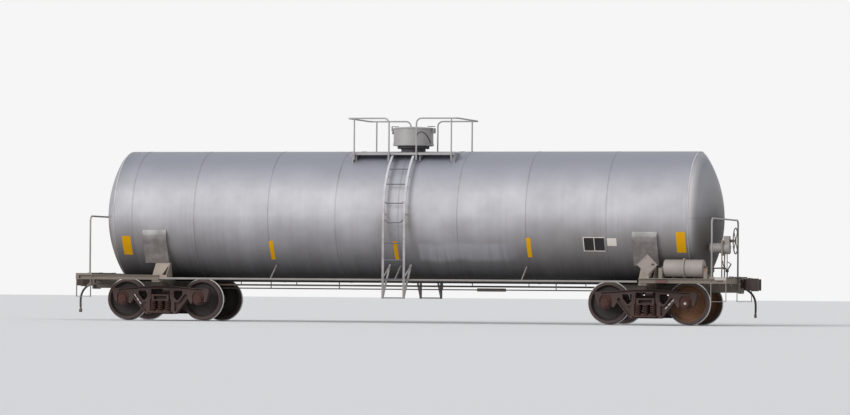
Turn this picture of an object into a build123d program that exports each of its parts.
# Scale test car: a jacketed tank car on two four-wheel trucks, kept as a rolling check weight.
# Millimetres. The origin is on the floor, at the tips of the wheel flanges, below the car's middle.
# +X runs towards the brake end (b), -X towards the other end (a), +Y to the far side, +Z up.
from build123d import *
import math
import os

# Wheels and rail: heights that a car builder gives above the rail start from rail_z.
flange_height = 25.4
rail_z = flange_height
wheel_radius = 457.2
wheelbase = 1778.0
back_to_back = 1356.0
rim_width = 140.0
axle_z = rail_z + wheel_radius
shoe_gap = 6.0

# Side channels and deck
car_half_width = 1500.0
side_sill_z = rail_z + 895.0
side_sill_height = 105.0
side_sill_width = 60.0
side_sill_inner_y = car_half_width - side_sill_width
deck_thickness = 30.0
deck_z = side_sill_z + side_sill_height

# Tank
tank_radius = car_half_width - 30.0
tank_z = rail_z + 860.0 + tank_radius
tank_half_straight = 6500.0
head_knuckle = 150.0
head_dish = 2600.0
tank_top_z = tank_z + tank_radius

# Truck centres and body bolsters
truck_centre_x = tank_half_straight - 940.0
bolster_length = 150.0
knee_reach = 262.0
web_offset = 243.0
web_thickness = 14.0
web_foot_length = 430.0
web_head_length = 90.0
body_bearing_y = 635.0
jack_pad_inner_y = side_sill_inner_y - 260.0
jack_pad_half_length = 90.0
jack_pad_thickness = 50.0
centre_plate_z = rail_z + 654.0
centre_plate_radius = 203.0
centre_plate_thickness = 45.0
pivot_gap = 0.5

# Saddle covers: each corner as (degrees round the tank, mm outside the tank).
cover_length = 552.0
cover_middle_x = truck_centre_x + 40.0
cover_corners = ((-12.6, 6.0), (-16.2, 69.0), (-41.3, 134.0))

# Draft sills and couplers
platform_end_x = tank_half_straight + 930.0
sill_half_width = 180.0
sill_wall = 16.0
sill_top_z = deck_z
sill_bottom_z = centre_plate_z + centre_plate_thickness
sill_inner_x = truck_centre_x - 810.0
striker_x = platform_end_x + 10.0
striker_thickness = 40.0
coupler_z = rail_z + 876.0
coupler_pin_x = striker_x - 380.0
coupler_play = 5.0
coupler_pin_radius = 44.5
pulling_face_x = striker_x + 340.0
draft_pocket_x = coupler_pin_x - 710.0
shank_half_width = 63.5
shank_half_height = 66.0
coupler_head_half_height = 125.0
pin_clearance = 0.3

# End platforms, railings and steps
platform_inner_x = platform_end_x - 340.0
railing_x = platform_inner_x + 10.0
railing_top_z = rail_z + 2310.0
railing_pipe = 19.0
step_z = rail_z + 500.0
step_bar = 10.0

# Side ladders, handrail pipes and the platform on top
ladder_half_width = 240.0
ladder_offset = 130.0
ladder_bottom_z = rail_z + 513.0
stile_width = 50.0
stile_depth = 30.0
ladder_top_deg = 57.0
# Rungs up to the tank's middle as (height above the rail, dip), then round it as (degrees, dip).
straight_rungs = ((530.0, 0.0), (940.0, 0.0), (1362.0, 0.0), (1730.0, 0.0), (2250.0, 66.0))
curved_rungs = ((11.3, 32.0), (26.1, 0.0), (40.7, 0.0))
rung_radius = 12.0
brace_deg = -46.5
side_pipe_radius = 22.0
side_pipe_z = rail_z + 925.0
side_pipe_stays = (-2870.0, 0.0, 2870.0)
side_pipe_stay_deg = -48.0
top_deck_z = tank_top_z - 50.0
top_frame_depth = 50.0
top_frame_bar = 30.0
top_half_length = 1180.0
top_half_width = 900.0
top_walk_inner_y = 500.0
top_bracket_outer_y = 800.0
top_bracket_places = (-1120.0, -380.0, 350.0, 1090.0)
top_railing_z = tank_top_z + 710.0
top_post_drop = 160.0
top_pipe = 17.0

# Manway, protective housing and lid
neck_radius = 273.5
flange_radius = 357.5
flange_z = tank_top_z + 70.0
housing_radius = 445.0
housing_wall = 12.0
housing_base_z = tank_top_z + 126.0
housing_base_thickness = 30.0
lid_z = tank_top_z + 500.0
lid_rise = 60.0
lid_gap = 0.5
lid_pin_x = housing_radius + 34.0
lid_pin_z = lid_z + 12.0
lid_pin_radius = 8.0
# Valves inside the housing: (x, y, radius, height).
valve_table = ((-200, 0, 60, 150), (200, 60, 45, 130), (0, -230, 45, 120), (30, 220, 70, 90))

# Brake gear
train_pipe_radius = 20.0
train_pipe_z = rail_z + 795.0
train_pipe_y = 330.0
train_pipe_end_x = platform_end_x + 20.0
train_pipe_crossing = (-1200.0, -400.0)
# Hangers of the brake pipe as (x, side), and those of the pull rod as x.
pipe_hangers = ((-3900, -1), (-2600, -1), (1300, 1), (2600, 1), (3900, 1))
rod_hangers = (-3300, -1700, 700, 3300)
slack_adjuster = (1500.0, 2150.0)
hose_radius = 24.0
# Route of the b end's hose from cock to coupling, seen from the side: (x beyond the pipe's end, z).
hose_route = ((115.0, 770.0), (184.0, 712.0), (241.0, 624.0), (273.0, 519.0), (278.0, 399.0), (274.0, 289.0))
hose_points = [(train_pipe_end_x + x, z) for x, z in hose_route]
reservoir_radius = 185.0
reservoir_length = 885.0
reservoir_x = truck_centre_x + 905.0
reservoir_y = -(car_half_width - 210.0)
reservoir_z = deck_z + 42.0 + reservoir_radius
control_valve_x = truck_centre_x + 790.0
control_valve_y = car_half_width - 170.0
hand_brake_x = platform_end_x - 205.0
hand_brake_y = -750.0
hand_brake_z = rail_z + 1670.0
hand_wheel_radius = 280.0
hand_wheel_z = hand_brake_z + 156.0
placard_x = truck_centre_x + 123.0
placard_z = rail_z + 1295.0
placard_side = 320.0

# Trucks
side_frame_y = 1000.0
side_frame_rim = 95.0
side_frame_web = 45.0
jaw_half_width = 135.0
journal_radius = 78.6
journal_gap = 0.3
bearing_radius = 126.0
bearing_length = 176.0
adapter_top_z = rail_z + 625.0
spring_seat_z = rail_z + 185.0
spring_top_z = rail_z + 427.0
spring_radius = 68.0
spring_spacing = 2 * spring_radius + 32.0
spring_bay_half = spring_spacing + spring_radius + 12.0
truck_bolster_half = 200.0
bolster_bay_half = truck_bolster_half + 22.0
adapter_half = jaw_half_width - 10.0
jaw_chamfer = 50.0
jaw_chamfer_height = 70.0
bowl_wall = 40.0
bowl_depth = 30.0

ENDS = (("a", -1), ("b", 1))
SIDES = (("near", -1), ("far", 1))


def block(x0, x1, y0, y1, z0, z1):
    """A box between two corners, given as low and high values on each axis."""
    box = Box(abs(x1 - x0), abs(y1 - y0), abs(z1 - z0))
    return Pos((x0 + x1) / 2, (y0 + y1) / 2, (z0 + z1) / 2) * box


def rod(start, end, radius):
    """A round bar from one point to another."""
    line = Vector(*end) - Vector(*start)
    return Part() + Solid.make_cylinder(radius, line.length, Plane(origin=start, z_dir=line))


def pipe(points, radius, bend):
    """A round pipe along straight runs joined by arcs of one bend radius."""
    path = FilletPolyline(*points, radius=bend)
    start = Plane(origin=path @ 0, z_dir=path % 0)
    return sweep(start * Circle(radius), path=path)


def slab(outline, facing, low, high):
    """A flat sketch extruded along Y (facing "xz"), X (facing "yz") or Z (facing "xy")."""
    planes = {
        "xz": Plane(origin=(0, low, 0), x_dir=(1, 0, 0), z_dir=(0, -1, 0)),
        "yz": Plane(origin=(low, 0, 0), x_dir=(0, 1, 0), z_dir=(1, 0, 0)),
        "xy": Plane(origin=(0, 0, low)),
    }
    along = {"xz": (0, 1, 0), "yz": (1, 0, 0), "xy": (0, 0, 1)}
    return extrude(planes[facing] * outline, amount=high - low, dir=along[facing])


def polygon(points, radius=0):
    """A closed outline through points, with its corners rounded where a radius is given."""
    if radius:
        return make_face(FilletPolyline(*points, radius=radius, close=True))
    return make_face(Polyline(*points, close=True))


def ring_sector(inner, outer, low_deg, high_deg):
    """A sector of a flat ring about the sketch's origin, between two angles."""
    turn = high_deg - low_deg
    inside = CenterArc((0, 0), inner, low_deg, turn)
    outside = CenterArc((0, 0), outer, low_deg, turn)
    return make_face([inside, outside, Line(inside @ 0, outside @ 0), Line(inside @ 1, outside @ 1)])


def mirrored(shape, s):
    """The shape itself for s = 1, or its image across the car's middle for s = -1."""
    return shape if s > 0 else mirror(shape, about=Plane.YZ)


def sided(shape, s):
    """The shape itself for s = 1 (far side), or its image on the near side for s = -1."""
    return shape if s > 0 else mirror(shape, about=Plane.XZ)


def turned(shape, s):
    """The shape itself for s = 1, or the same shape turned half round for the other end."""
    return shape if s > 0 else Rot(0, 0, 180) * shape


def save(node, *pieces):
    """Write one node, which may hold several solids that don't touch."""
    solids = [solid for piece in pieces for solid in piece.solids()]
    shape = solids[0] if len(solids) == 1 else Compound(children=solids)
    export_step(shape, f"parts/{node}.step")


def tank_body():
    """The tank: a cylinder with a dished head at each end."""
    half = tank_half_straight
    corner = tank_radius - head_knuckle
    reach = math.sqrt((head_dish - head_knuckle) ** 2 - corner ** 2)
    joint_deg = math.degrees(math.atan2(corner, reach))
    knuckle_arc = CenterArc((half, corner), head_knuckle, joint_deg, 90 - joint_deg)
    dish_arc = CenterArc((half - reach, 0), head_dish, 0, joint_deg)
    left_knuckle = mirror(knuckle_arc, about=Plane.YZ)
    left_dish = mirror(dish_arc, about=Plane.YZ)
    apex = dish_arc @ 0
    top = Line((-half, tank_radius), (half, tank_radius))
    axis = Line((-apex.X, 0), (apex.X, 0))
    profile = make_face([axis, dish_arc, knuckle_arc, top, left_knuckle, left_dish])
    return Pos(0, 0, tank_z) * revolve(profile, axis=Axis.X)


def on_tank(degrees, radius):
    """A point (y, z) round the tank's axis on the near side, by its angle above the middle."""
    turn = math.radians(degrees)
    return -radius * math.cos(turn), tank_z + radius * math.sin(turn)


def saddle_cover(s, side, tank):
    """The folded jacket cover over the bolster's saddle, on one side of one end."""
    outline = [on_tank(degrees, tank_radius + out) for degrees, out in cover_corners]
    (top_y, top_z), (low_y, low_z) = outline[0], outline[-1]
    outline += [(low_y + 300, low_z), (top_y + 120, top_z)]
    half = cover_length / 2
    cover = slab(polygon(outline), "yz", cover_middle_x - half, cover_middle_x + half)
    return mirrored(sided(cover, -side), s) - tank


def body_bolster(s, tank):
    """The cross beam that carries the tank at one truck, the same casting at both ends."""
    edge, foot_z = side_sill_inner_y, side_sill_z
    cover_low_y, head_z = on_tank(cover_corners[-1][0], tank_radius + cover_corners[-1][1])
    head_y = -cover_low_y - 10
    half = [
        (0, sill_bottom_z), (body_bearing_y - 75, sill_bottom_z + 10), (body_bearing_y + 215, foot_z - 40),
        (jack_pad_inner_y, foot_z), (edge, foot_z), (edge, deck_z), (head_y, head_z), (0, head_z),
    ]
    half_length = bolster_length / 2
    beam = slab(polygon(both_halves(half)), "yz", -half_length, half_length)
    web_front = [(edge, foot_z), (edge, deck_z), (head_y, head_z)]
    web_back = [(head_y - web_head_length, head_z), (edge - web_foot_length, foot_z)]
    web = slab(polygon(web_front + web_back), "yz", -web_offset - web_thickness, -web_offset)
    sloping_face = [(edge, deck_z), (head_y, head_z), (head_y - 20, head_z), (edge - 20, deck_z)]
    knee_corners = [(0, deck_z), (-half_length - 75, deck_z), (-knee_reach, head_z), (0, head_z)]
    knee = slab(polygon(sloping_face), "yz", -knee_reach, 0) & slab(polygon(knee_corners), "xz", 0, edge)
    stay = block(-web_offset, 0, edge - 20, edge, foot_z + 20, deck_z)
    length = jack_pad_half_length
    pad = block(-length, length, jack_pad_inner_y, edge, foot_z - jack_pad_thickness, foot_z)
    inner_y, outer_y = body_bearing_y - 65, body_bearing_y + 65
    bearing = block(-half_length, half_length, inner_y, outer_y, sill_bottom_z - 20, sill_bottom_z + 60)
    arm = web + knee + stay + pad + bearing
    beam += arm + turned(arm, -1)
    y, z = train_pipe_y, train_pipe_z
    pipe_hole = rod((-400, y, z), (400, y, z), train_pipe_radius + 3)
    beam -= pipe_hole
    beam -= sided(pipe_hole, -1)
    beam -= block(-400, 400, -sill_half_width, sill_half_width, 0, sill_top_z)
    return Pos(s * truck_centre_x, 0, 0) * beam - tank


def draft_sill(s, tank):
    """The stub sill under one end of the tank, open at its end for the coupler."""
    half = sill_half_width
    sill = block(sill_inner_x, striker_x, -half, half, sill_bottom_z, sill_top_z)
    low, high, side = sill_bottom_z + sill_wall, sill_top_z - sill_wall, half - sill_wall
    sill -= block(draft_pocket_x, striker_x, -side, side, low, high)
    sill += Pos(truck_centre_x, 0, centre_plate_z) * Cylinder(
        centre_plate_radius, centre_plate_thickness, align=(Align.CENTER, Align.CENTER, Align.MIN))
    pin_length = sill_top_z - sill_bottom_z - 2
    sill += Pos(coupler_pin_x, 0, (sill_top_z + sill_bottom_z) / 2) * Cylinder(coupler_pin_radius, pin_length)
    striker = block(striker_x, striker_x + striker_thickness, -235, 235, sill_bottom_z - 20, sill_top_z + 30)
    mouth_low = coupler_z - shank_half_height - coupler_play
    mouth = block(striker_x - 1, striker_x + striker_thickness + 1, -150, 150, mouth_low, mouth_low + 190)
    return mirrored(sill + (striker - mouth), s) - tank


def end_platform(s):
    """Side channels, end channel and deck plate across one end of the car."""
    outer = car_half_width
    low, high = side_sill_z, deck_z
    frame = block(platform_end_x - 60, platform_end_x, -outer, outer, low, high)
    start_x = truck_centre_x - bolster_length / 2
    for side in (-1, 1):
        channel = block(start_x, platform_end_x, outer - side_sill_width, outer, low, high)
        channel -= block(start_x, platform_end_x - 70, outer - 46, outer, low + 14, high - 14)
        frame += sided(channel, side)
        frame += sided(block(platform_inner_x - 40, platform_inner_x, 180, outer - 30, low + 50, high), side)
    deck = block(platform_inner_x - 40, platform_end_x, -outer, outer, deck_z, deck_z + deck_thickness)
    core = block(sill_inner_x, striker_x, -sill_half_width, sill_half_width, sill_bottom_z, sill_top_z)
    return mirrored(frame + deck - core, s)


def end_railing(s):
    """The pipe rail across one end, between the platform and the tank head."""
    y = car_half_width - railing_pipe - 4
    base = deck_z + deck_thickness
    route = ((-y, base), (-y, railing_top_z), (y, railing_top_z), (y, base))
    rail = pipe([(railing_x, y, z) for y, z in route], railing_pipe, 110)
    for side in (-1, 1):
        rail += Pos(railing_x, side * y, base + 6) * Box(90, 46, 12)
    return mirrored(rail, s)


def sill_steps(s):
    """One stirrup step below each corner of one end."""
    steps = []
    inner, outer = platform_end_x - 350, platform_end_x - 10
    for side in (-1, 1):
        outline = [(inner, side_sill_z), (inner, step_z), (outer, step_z), (outer, side_sill_z)]
        legs = slab(polygon(outline), "xz", car_half_width - 50, car_half_width)
        legs -= block(inner + step_bar, outer - step_bar, 0, 2000, step_z + step_bar, side_sill_z + 10)
        steps.append(mirrored(sided(legs, side), s))
    return steps


def strap(x, start, end, width, thickness):
    """A flat bar between two points (y, z), as wide along X as it is given and centred there."""
    along = (Vector(*end) - Vector(*start)).normalized() * (thickness / 2)
    across = Vector(-along.Y, along.X)
    corners = [Vector(*start) - across, Vector(*start) + across, Vector(*end) + across, Vector(*end) - across]
    return slab(polygon([(corner.X, corner.Y) for corner in corners]), "yz", x - width / 2, x + width / 2)


def ladder_stiles(side, tank):
    """The two flat stiles of one side ladder, with their stand-offs and braces to the tank."""
    radius = tank_radius + ladder_offset
    anchor = tank_radius - 15
    stiles = []
    for x in (-ladder_half_width, ladder_half_width):
        straight = Line((x, -radius, ladder_bottom_z), (x, -radius, tank_z))
        middle, top = on_tank(ladder_top_deg / 2, radius), on_tank(ladder_top_deg, radius)
        curve = ThreePointArc((x, -radius, tank_z), (x, *middle), (x, *top))
        path = Wire([straight.edge(), curve.edge()])
        section = Plane(origin=(x, -radius, ladder_bottom_z)) * Rectangle(stile_width, stile_depth)
        stile = sweep(section, path=path)
        brace_end = on_tank(brace_deg, tank_radius + 40)
        stile += strap(x, (-radius, ladder_bottom_z + 20), brace_end, 44, 12)
        stile += strap(x, (-radius, side_pipe_z + 40), brace_end, 30, 12)
        stile += strap(x, brace_end, on_tank(brace_deg, anchor), 44, 16)
        for degrees in (2, 36):
            stile += strap(x, on_tank(degrees, radius), on_tank(degrees, anchor), 30, 12)
        stiles.append(sided(stile - tank, -side))
    return stiles


def ladder_rungs(side):
    """The rungs of one side ladder, each between its two stiles, some dipped in the middle."""
    radius = tank_radius + ladder_offset
    reach = ladder_half_width - stile_width / 2
    places = [(-radius, rail_z + height, dip) for height, dip in straight_rungs]
    places += [(*on_tank(degrees, radius), dip) for degrees, dip in curved_rungs]
    rungs = []
    for y, z, dip in places:
        if dip:
            bend = reach - dip
            points = [(-reach, y, z), (-bend, y, z - dip), (bend, y, z - dip), (reach, y, z)]
            rung = pipe(points, rung_radius, 30)
            rung = rung & block(-reach, reach, y - 100, y + 100, z - 200, z + 200)
        else:
            rung = rod((-reach, y, z), (reach, y, z), rung_radius)
        rungs.append(sided(rung, -side))
    return rungs


def top_platform(tank):
    """The walkway round the manway, on brackets that stand on the tank."""
    length, width, bar = top_half_length, top_half_width, top_frame_bar
    low = top_deck_z - top_frame_depth
    frame = block(-length, length, -width, width, low, top_deck_z)
    frame -= block(-length + bar, length - bar, -width + bar, width - bar, low - 1, top_deck_z + 1)
    for side in (-1, 1):
        frame += sided(block(-length, length, top_walk_inner_y, width, top_deck_z - 20, top_deck_z), side)
        for x in top_bracket_places:
            bracket = block(x, x + 30, top_walk_inner_y, top_bracket_outer_y, low - 260, top_deck_z - 10)
            frame += sided(bracket, side)
    ring = ring_sector(tank_radius, tank_radius + 6, 58, 122)
    for end in (-1, 1):
        band = Pos(0, 0, tank_z) * slab(ring, "yz", length - 80, length)
        end_beam = block(length - bar, length, -width + bar, width - bar, low - 260, low)
        frame += mirrored(band + end_beam, end)
    return frame - tank


def top_railing(end):
    """A pipe rail that wraps one end of the platform on top, with its posts clipped to the deck's edge."""
    y = top_half_width + top_pipe
    base = top_deck_z - top_post_drop
    inner, outer, post = 315.0, 1265.0, 1115.0
    points = [(inner, -y, base), (inner, -y, top_railing_z), (outer, -y, top_railing_z),
              (outer, y, top_railing_z), (inner, y, top_railing_z), (inner, y, base)]
    rail = pipe(points, top_pipe, 115)
    clip_z = top_deck_z - top_frame_depth
    for side in (-1, 1):
        rail += rod((post, side * y, base), (post, side * y, top_railing_z), top_pipe - 1)
        for x in (inner, post):
            rail += sided(block(x - 28, x + 28, top_half_width, y, clip_z, top_deck_z), side)
        edge = block(0, outer + 100, 0, top_half_width, base - 10, top_deck_z + 10)
        rail -= sided(edge, side)
    return mirrored(rail, end)


def manway(tank):
    """The nozzle on top of the tank with its flange."""
    neck = Pos(0, 0, tank_top_z - 60) * Cylinder(
        neck_radius, flange_z - tank_top_z + 60, align=(Align.CENTER, Align.CENTER, Align.MIN))
    flange = Pos(0, 0, flange_z) * Cylinder(
        flange_radius, housing_base_z - flange_z, align=(Align.CENTER, Align.CENTER, Align.MIN))
    return neck + flange - tank


def dome_housing():
    """The round housing that guards the valves, open at its top."""
    base = (Align.CENTER, Align.CENTER, Align.MIN)
    wall_height = lid_z - housing_base_z
    shell = Pos(0, 0, housing_base_z) * Cylinder(housing_radius, wall_height, align=base)
    hollow_z = housing_base_z + housing_base_thickness
    shell -= Pos(0, 0, hollow_z) * Cylinder(housing_radius - housing_wall, wall_height, align=base)
    shell += Pos(0, 0, housing_base_z) * Cylinder(housing_radius + 10, 55, align=base) - Pos(
        0, 0, housing_base_z) * Cylinder(housing_radius - 1, 55, align=base)
    low, high = lid_z - 90, lid_pin_z
    for y in (-60, 60):
        shell += block(housing_radius - 6, lid_pin_x + 14, y - 12, y + 12, low, lid_z - 30)
        shell += block(lid_pin_x - 14, lid_pin_x + 14, y - 12, y + 12, lid_z - 40, high)
        shell += rod((lid_pin_x, y - 12, high), (lid_pin_x, y + 12, high), 14)
    shell -= rod((lid_pin_x, -80, high), (lid_pin_x, 80, high), lid_pin_radius + pin_clearance)
    shell += block(-housing_radius - 40, -housing_radius + 6, -20, 20, lid_z - 60, lid_z)
    return shell


def dome_lid():
    """The shallow domed lid, hinged at one side, with a latch at the other."""
    radius = housing_radius + 12
    profile = polygon([(0, lid_gap), (radius, lid_gap), (radius, 18), (radius - 30, 34), (0, lid_rise)])
    lid = Pos(0, 0, lid_z) * revolve(Plane.XZ * profile, axis=Axis.Z)
    lid += block(-radius - 30, -radius + 30, -20, 20, lid_z + lid_gap, lid_z + 24)
    lid += block(radius - 60, lid_pin_x, -40, 40, lid_z + 4, lid_z + 24)
    lid += rod((lid_pin_x, -44, lid_pin_z), (lid_pin_x, 44, lid_pin_z), 14)
    lid += rod((lid_pin_x, -76, lid_pin_z), (lid_pin_x, 76, lid_pin_z), lid_pin_radius)
    return lid


def dome_valves():
    """The valve bodies that stand on the manway cover inside the housing."""
    base_z = housing_base_z + housing_base_thickness
    valves = []
    for x, y, radius, height in valve_table:
        shoulder = base_z + height * 0.6
        body = rod((x, y, base_z), (x, y, shoulder), radius)
        valves.append(body + rod((x, y, shoulder), (x, y, base_z + height), radius * 0.55))
    return valves


def side_handrail(side, tank):
    """The long pipe rail between the bolsters on one side, stayed to the tank."""
    y = car_half_width - side_pipe_radius
    reach = truck_centre_x - bolster_length / 2 - 30
    rail = rod((-reach, y, side_pipe_z), (reach, y, side_pipe_z), side_pipe_radius)
    foot_y, foot_z = on_tank(side_pipe_stay_deg, tank_radius)
    for x in side_pipe_stays:
        rail += rod((x, y, side_pipe_z), (x, -foot_y, foot_z), 16)
    return sided(rail, side) - tank


def train_pipe(tank):
    """The brake pipe that runs from end to end, crossing over under the tank, on its hangers."""
    y, z, end_x = train_pipe_y, train_pipe_z, train_pipe_end_x
    start, finish = train_pipe_crossing
    points = [(-end_x, -y, z), (start, -y, z), (finish, y, z), (end_x, y, z)]
    run = pipe(points, train_pipe_radius, 250)
    for x, side in pipe_hangers:
        run += block(x - 6, x + 6, side * y - 16, side * y + 16, z, z + 200) - tank
    for end in (-1, 1):
        x = end * (platform_end_x - 30)
        run += block(x - 8, x + 8, end * y - 16, end * y + 16, z, side_sill_z)
    return run


def angle_cock():
    """The cock at the b end of the brake pipe, turned down and out towards the hose."""
    y, z, x = train_pipe_y, train_pipe_z, train_pipe_end_x
    nose = (hose_points[0][0], y, hose_points[0][1])
    cock = rod((x, y, z), (x + 70, y, z), 34)
    cock += rod((x + 40, y, z), nose, 30)
    cock += rod((x + 35, y, z), (x + 35, y, z + 60), 14)
    cock += block(x - 25, x + 45, y - 9, y + 9, z + 52, z + 66)
    (x0, z0), (x1, z1) = hose_points[:2]
    return cock - rod((x0, y, z0), (x1, y, z1), 60)


def brake_hose():
    """The hose that hangs from the b end's cock: straight runs joined by wide arcs."""
    points = [(x, train_pipe_y, z) for x, z in hose_points]
    radii = []
    for before, here, after in zip(points, points[1:], points[2:]):
        first, second = Vector(*here) - Vector(*before), Vector(*after) - Vector(*here)
        half_turn = math.radians(first.get_angle(second) / 2)
        radii.append(0.45 * min(first.length, second.length) / math.tan(half_turn))
    print("hose radii", [round(radius) for radius in radii])
    path = FilletPolyline(*points, radius=radii)
    tube = sweep(Plane(origin=path @ 0, z_dir=path % 0) * Circle(hose_radius), path=path)
    print("hose volume over section times length", tube.volume / (math.pi * hose_radius ** 2 * path.length))
    return tube


def glad_hand():
    """The coupling on the hose's free end: nipple, round seat and hooked lug."""
    (x0, z0), (x, z) = hose_points[-2:]
    y = train_pipe_y
    down = (Vector(x, y, z) - Vector(x0, y, z0)).normalized()
    end = Vector(x, y, z) + down * 45
    body = rod((x, y, z), tuple(end), 21)
    seat = rod((end.X - 22, y, end.Z - 26), (end.X + 22, y, end.Z - 26), 44)
    lug = block(end.X + 2, end.X + 20, y - 18, y + 62, end.Z - 62, end.Z - 30)
    return body + seat + lug


def reservoir():
    """The two-part air reservoir with its middle flange and the boss at each end."""
    body = Cylinder(reservoir_radius, reservoir_length)
    body = fillet(body.edges().filter_by(GeomType.CIRCLE), 32)
    body += Cylinder(reservoir_radius + 28, 34)
    body += Cylinder(34, reservoir_length + 70)
    return Pos(reservoir_x, reservoir_y, reservoir_z) * Rot(0, 90, 0) * body


def reservoir_brackets(body):
    """The two posts that hold the reservoir's end bosses over the side channel."""
    brackets = []
    outer, inner = -car_half_width + 10, reservoir_y + 60
    for s in (-1, 1):
        x = reservoir_length / 2 + 15
        post = block(x, x + 80, outer, inner, deck_z, deck_z + 90)
        post += block(x, x + 80, outer, outer + 16, deck_z + 80, deck_z + 230)
        post += block(x, x + 42, inner - 120, inner, deck_z + 80, reservoir_z + 38)
        brackets.append(Pos(reservoir_x, 0, 0) * mirrored(post, s) - body)
    return brackets


def wheel_profile():
    """Half section of one wheel: (distance from the car's middle, radius) from bore to tread."""
    inner = back_to_back / 2
    outer = inner + rim_width
    seat = 111.0
    return [
        (inner - 32, seat), (inner - 32, 150), (inner + 10, 175), (inner + 48, 260), (inner + 44, 340),
        (inner, 392), (inner, wheel_radius + 12), (inner + 12, wheel_radius + flange_height),
        (inner + 22, wheel_radius + flange_height), (inner + 40, wheel_radius), (outer - 8, wheel_radius - 4),
        (outer, wheel_radius - 12), (outer, 392), (inner + 72, 345), (inner + 72, 260), (inner + 98, 180),
        (outer + 6, 150), (outer + 6, seat),
    ]


def lathe_y(points, x, z):
    """Revolve (y, radius) points about an axle line at x, z."""
    turned_face = make_face(Polyline(*[(radius, y) for y, radius in points], close=True))
    return Pos(x, 0, z) * revolve(turned_face, axis=Axis.Y)


def wheels(x):
    """The two wheels of one wheelset."""
    far = lathe_y(wheel_profile(), x, axle_z)
    return [far, sided(far, -1)]


def axle(x):
    """One axle with its journals and end caps."""
    seat_inner = back_to_back / 2 - 32
    seat_outer = back_to_back / 2 + rim_width + 6
    half = [
        (0, 0), (0, 89), (420, 92), (seat_inner - 30, 111), (seat_outer + 8, 111), (seat_outer + 20, 96),
        (side_frame_y - bearing_length / 2 - 10, 96), (side_frame_y - bearing_length / 2 - 6, journal_radius),
        (side_frame_y + bearing_length / 2 + 2, journal_radius), (side_frame_y + bearing_length / 2 + 2, 92),
        (side_frame_y + bearing_length / 2 + 40, 88), (side_frame_y + bearing_length / 2 + 44, 60),
        (side_frame_y + bearing_length / 2 + 52, 60), (side_frame_y + bearing_length / 2 + 52, 0),
    ]
    far = lathe_y(half, x, axle_z)
    return far + sided(far, -1)


def bearings(x):
    """The roller bearing cups on one axle, each with the adapter that seats in the side frame."""
    pieces = []
    for side in (-1, 1):
        half = bearing_length / 2
        cup = rod((x, side_frame_y - half, axle_z), (x, side_frame_y + half, axle_z), bearing_radius)
        shoulder_z = adapter_top_z - jaw_chamfer_height
        half_top = adapter_half - jaw_chamfer
        corners = [(adapter_half, axle_z + 60), (adapter_half, shoulder_z), (half_top, adapter_top_z)]
        corners += [(-offset, z) for offset, z in reversed(corners)]
        cup += Pos(x, 0, 0) * slab(polygon(corners), "xz", side_frame_y - 80, side_frame_y + 80)
        bore_start, bore_end = (x, side_frame_y - 200, axle_z), (x, side_frame_y + 200, axle_z)
        cup -= rod(bore_start, bore_end, journal_radius + journal_gap)
        pieces.append(sided(cup, side))
    return pieces


def side_frame_face():
    """One cast side frame seen from the side, about the truck's centre, with its openings cut."""
    axle_x = wheelbase / 2
    outer, inner = axle_x + jaw_half_width, axle_x - jaw_half_width
    roof = adapter_top_z - rail_z
    half = [
        (0, 762), (300, 758), (inner, 712), (outer + 86, 702), (outer + 116, 672), (outer + 96, 560),
        (outer + 44, 400), (outer, 400), (outer, roof - jaw_chamfer_height), (outer - jaw_chamfer, roof),
        (inner + jaw_chamfer, roof), (inner, roof - jaw_chamfer_height), (inner, 380), (inner - 42, 362),
        (inner - 114, 478), (345, 126), (0, 126),
    ]
    window = [(308, 650), (518, 650), (512, 560), (415, 436), (368, 440), (314, 510)]
    window = polygon([(x, rail_z + z) for x, z in window], 14)
    face = polygon([(x, rail_z + z) for x, z in both_halves(half)])
    bay = [
        (spring_bay_half, spring_seat_z), (spring_bay_half, spring_top_z + 8),
        (bolster_bay_half, spring_top_z + 40), (bolster_bay_half, rail_z + 690),
    ]
    face -= polygon(bay + [(-x, z) for x, z in reversed(bay)], 8)
    return face - window - mirror(window, about=Plane.YZ)


def both_halves(half):
    """A closed outline from its right half, whose first and last points lie on the middle."""
    return half + [(-x, z) for x, z in reversed(half[1:-1])]


def side_frame_pockets():
    """The sunk panels between a side frame's ribs: (x, height above the rail) for each corner."""
    diagonal = [(352, 175), (606, 478), (640, 545), (590, 575), (560, 560), (420, 392), (330, 392), (330, 200)]
    top_chord = [(0, 712), (310, 712), (700, 676), (980, 655), (980, 682), (740, 694), (310, 738), (0, 746)]
    bottom_chord = [(0, 140), (290, 140), (290, 168), (0, 168)]
    pocket = polygon([(x, rail_z + z) for x, z in diagonal])
    pockets = [pocket, mirror(pocket, about=Plane.YZ)]
    for half in (top_chord, bottom_chord):
        pockets.append(polygon([(x, rail_z + z) for x, z in both_halves(half)]))
    return pockets


def side_frames(centre):
    """The two cast side frames of one truck, with panels sunk between their ribs."""
    y = side_frame_y
    frame = slab(side_frame_face(), "xz", y - side_frame_rim, y + side_frame_rim)
    for pocket in side_frame_pockets():
        frame -= slab(pocket, "xz", y - side_frame_rim - 1, y - side_frame_web)
        frame -= slab(pocket, "xz", y + side_frame_web, y + side_frame_rim + 1)
    shelf = spring_bay_half - 1
    frame += block(-shelf, shelf, y - 170, y + 170, spring_seat_z - 30, spring_seat_z)
    frame = Pos(centre, 0, 0) * frame
    return [frame, sided(frame, -1)]


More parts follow.
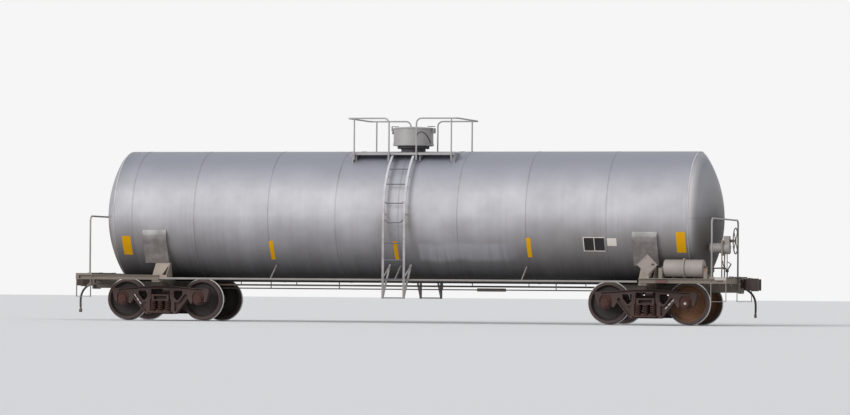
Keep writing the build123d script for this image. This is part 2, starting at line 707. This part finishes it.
def truck_bolster(centre):
    """The cross beam of one truck, with its centre bowl and side bearings."""
    top = centre_plate_z - pivot_gap - 30
    low = spring_top_z
    end_y = side_frame_y + 120
    half = [
        (0, rail_z + 330), (450, rail_z + 340), (850, low), (end_y, low), (end_y, low + 134), (870, low + 150),
        (720, top), (0, top),
    ]
    beam = slab(polygon(both_halves(half)), "yz", centre - truck_bolster_half, centre + truck_bolster_half)
    align = (Align.CENTER, Align.CENTER, Align.MIN)
    rim_radius = centre_plate_radius + 5 + bowl_wall
    bowl = Pos(centre, 0, top) * Cylinder(rim_radius, 30 + bowl_depth, align=align)
    bowl -= Pos(centre, 0, centre_plate_z - pivot_gap) * Cylinder(centre_plate_radius + 5, 100, align=align)
    beam += bowl
    for side in (-1, 1):
        beam -= sided(block(centre - 150, centre + 150, end_y - 90, end_y + 1, low + 28, low + 104), side)
        y = side * body_bearing_y
        beam += block(centre - 90, centre + 90, y - 60, y + 60, top - 10, sill_bottom_z - 28)
    return beam


def springs(centre):
    """The coil spring groups of one truck, each coil as a plain ribbed post."""
    groups = []
    for side in (-1, 1):
        for x in (-spring_spacing, 0, spring_spacing):
            for y in (side_frame_y - 80, side_frame_y + 80):
                post = Pos(centre + x, side * y, spring_seat_z) * Cylinder(
                    spring_radius, spring_top_z - spring_seat_z, align=(Align.CENTER, Align.CENTER, Align.MIN))
                groups.append(post)
    return groups


def brake_beams(centre):
    """The two brake beams of one truck, with their heads and shoes beside the wheels."""
    beams = []
    half_base = wheelbase / 2
    reach = side_frame_y - side_frame_rim
    shoe_y = back_to_back / 2 + 84
    shoe_inner = wheel_radius + shoe_gap
    beam_x = half_base - 555
    beam_z = axle_z - 90
    shoe = slab(ring_sector(shoe_inner, shoe_inner + 42, 172, 212), "xz", shoe_y - 40, shoe_y + 40)
    head = block(beam_x - 20, half_base - shoe_inner - 20, shoe_y - 30, shoe_y + 30, axle_z - 170, axle_z - 10)
    shoe = Pos(half_base, 0, axle_z) * shoe
    head -= Pos(half_base, shoe_y, axle_z) * Rot(90, 0, 0) * Cylinder(shoe_inner + 20, 200)
    for end in (-1, 1):
        beam = rod((beam_x, -reach, beam_z), (beam_x, reach, beam_z), 28)
        for side in (-1, 1):
            beam += sided(shoe + head, side)
        beams.append(Pos(centre, 0, 0) * mirrored(beam, end))
    return beams


def coupler_body():
    """The coupler of the b end: shank, head and guard arm, with the hole for its pin."""
    low, high = coupler_z - shank_half_height, coupler_z + shank_half_height
    face = pulling_face_x
    shank = block(coupler_pin_x - 90, face - 180, -shank_half_width, shank_half_width, low, high)
    plan = [
        (face - 250, -90), (face - 180, -170), (face - 60, -190), (face - 45, -70), (face - 70, -30), (face - 70, 60),
        (face - 20, 120), (face + 95, 190), (face + 75, 235), (face - 60, 205), (face - 220, 110),
    ]
    head = slab(polygon(plan), "xy", coupler_z - coupler_head_half_height, coupler_z + coupler_head_half_height)
    hole = Pos(coupler_pin_x, 0, coupler_z) * Cylinder(coupler_pin_radius + pin_clearance, 400)
    return shank + head - hole


def knuckle():
    """The knuckle of the b end's coupler, closed."""
    face = pulling_face_x
    plan = [
        (face - 59.6, -189), (face + 20, -175), (face + 75, -120), (face + 85, -55), (face + 60, -5), (face + 10, 5),
        (face, -20), (face + 5, -60), (face - 45.3, -75),
    ]
    return slab(polygon(plan), "xy", coupler_z - 140, coupler_z + 140)


def uncoupling_lever():
    """The b end's cut lever: from above the coupler out to a handle at the car's side."""
    x, z = platform_end_x + 75, coupler_z + coupler_head_half_height + 36
    elbow, handle = car_half_width - 170, car_half_width - 80
    points = [(x + 95, -20, z), (x, -20, z), (x, -elbow, z), (x + 20, -handle, z - 200)]
    lever = pipe(points, 11, 40)
    for y in (-330, -elbow + 90):
        lever += block(platform_end_x, x + 16, y - 8, y + 8, z - 30, z + 16)
    return lever


def placard_holder():
    """The blank diamond plate by one bolster, on its stem."""
    y = -car_half_width
    plate = Pos(placard_x, y - 5, placard_z) * Rot(0, 45, 0) * Box(placard_side, 10, placard_side)
    stem = block(placard_x - 30, placard_x + 30, y, y + 10, deck_z, placard_z - 30)
    return plate + stem


def control_valve():
    """The brake control valve on its pipe bracket, on the far side channel."""
    low = deck_z
    x, y, z = control_valve_x, control_valve_y, low + 200
    valve = block(x - 80, x + 80, y - 70, y + 70, low + 50, low + 310)
    valve += block(x - 50, x + 50, y - 40, y + 160, low, low + 50)
    for start, end, radius in ((80, 210, 78), (210, 240, 50), (-210, -80, 70), (-240, -210, 45)):
        valve += rod((x + start, y, z), (x + end, y, z), radius)
    return valve


def brake_rods(tank):
    """The pull rod under the tank with its slack adjuster, hangers and end levers."""
    z = rail_z + 720
    end = sill_inner_x - 40
    rods = rod((-end, 0, z), (end, 0, z), 13) + rod((slack_adjuster[0], 0, z), (slack_adjuster[1], 0, z), 36)
    for x in rod_hangers:
        rods += block(x - 6, x + 6, -20, 20, z, z + 200) - tank
    for s in (-1, 1):
        rods += mirrored(block(end - 12, end + 12, -32, 32, z - 90, z + 110), s)
        rods += mirrored(block(end, sill_inner_x, -12, 12, z + 20, z + 80), s)
    return rods


def hand_brake():
    """Gear housing and wheel of the hand brake, on a stand that it shares with the brake cylinder."""
    x, y, z = hand_brake_x, hand_brake_y, hand_brake_z
    floor = deck_z + deck_thickness
    front = x + 130
    housing = rod((x, y, z), (front, y, z), 132) + block(x, front, y - 85, y + 85, z + 60, z + 262)
    housing += rod((x + 70, y, floor), (x + 70, y, z - 100), 10)
    rim_x = front + 125
    wheel = rod((front, y, hand_wheel_z), (rim_x + 15, y, hand_wheel_z), 32)
    wheel += Pos(rim_x, y, hand_wheel_z) * Rot(0, 90, 0) * Torus(hand_wheel_radius, 13)
    for spoke in range(4):
        angle = math.radians(45 + 90 * spoke)
        tip = Vector(0, math.cos(angle), math.sin(angle)) * hand_wheel_radius
        wheel += rod((rim_x, y, hand_wheel_z), (rim_x, y + tip.Y, hand_wheel_z + tip.Z), 10)
    stand = block(x - 35, x, y - 165, y + 165, z - 167, z + 167)
    for leg_y in (y - 165, y + 140):
        stand += block(x - 30, x - 5, leg_y, leg_y + 25, floor, z - 160)
    return housing, wheel, stand


def brake_cylinder():
    """The brake cylinder behind the hand brake's mounting plate, with its end flange."""
    x, y, z = hand_brake_x - 35, hand_brake_y, hand_brake_z
    body = rod((x - 262, y, z), (x, y, z), 109)
    return body + rod((x - 14, y, z), (x, y, z), 135)


def main():
    """Build every node and write it."""
    os.makedirs("parts", exist_ok=True)
    tank = tank_body()
    save("tank", tank)
    all_covers = []
    for end, s in ENDS:
        covers = [saddle_cover(s, side, tank) for side in (-1, 1)]
        all_covers += covers
        sill = draft_sill(s, tank)
        save(f"draft_sill_{end}", sill)
        save(f"body_bolster_{end}", body_bolster(s, tank))
        save(f"end_platform_{end}", end_platform(s))
        save(f"end_railing_{end}", end_railing(s))
        save(f"sill_steps_{end}", *sill_steps(s))
        save(f"coupler_{end}", turned(coupler_body(), s))
        save(f"knuckle_{end}", turned(knuckle(), s))
        save(f"brake_hose_{end}", turned(brake_hose(), s))
        save(f"glad_hand_{end}", turned(glad_hand(), s))
        centre = s * truck_centre_x
        save(f"side_frames_{end}", *side_frames(centre))
        save(f"truck_bolster_{end}", truck_bolster(centre))
        save(f"springs_{end}", *springs(centre))
        save(f"brake_beams_{end}", *brake_beams(centre))
        cups = []
        for number, offset_x in ((1, -wheelbase / 2), (2, wheelbase / 2)):
            x = centre + offset_x
            save(f"wheels_{end}{number}", *wheels(x))
            save(f"axle_{end}{number}", axle(x))
            cups += bearings(x)
        save(f"bearings_{end}", *cups)
    save("saddle_covers", *all_covers)
    for name, side in SIDES:
        save(f"side_handrail_{name}", side_handrail(side, tank))
    save("ladder_stiles", *ladder_stiles(-1, tank), *ladder_stiles(1, tank))
    save("ladder_rungs", *ladder_rungs(-1), *ladder_rungs(1))
    save("top_platform", top_platform(tank))
    save("top_railings", top_railing(-1), top_railing(1))
    save("manway", manway(tank))
    save("dome_housing", dome_housing())
    save("dome_valves", *dome_valves())
    save("dome_lid", dome_lid())
    save("train_pipe", train_pipe(tank))
    save("angle_cocks", angle_cock(), turned(angle_cock(), -1))
    save("uncoupling_levers", uncoupling_lever(), turned(uncoupling_lever(), -1))
    save("placard_holders", placard_holder(), turned(placard_holder(), -1))
    save("control_valve", control_valve())
    save("brake_rods", brake_rods(tank))
    air = reservoir()
    save("air_reservoir", air)
    save("reservoir_brackets", *reservoir_brackets(air))
    housing, wheel, stand = hand_brake()
    save("hand_brake_housing", housing)
    save("hand_brake_wheel", wheel)
    save("hand_brake_stand", stand)
    save("brake_cylinder", brake_cylinder())


main()
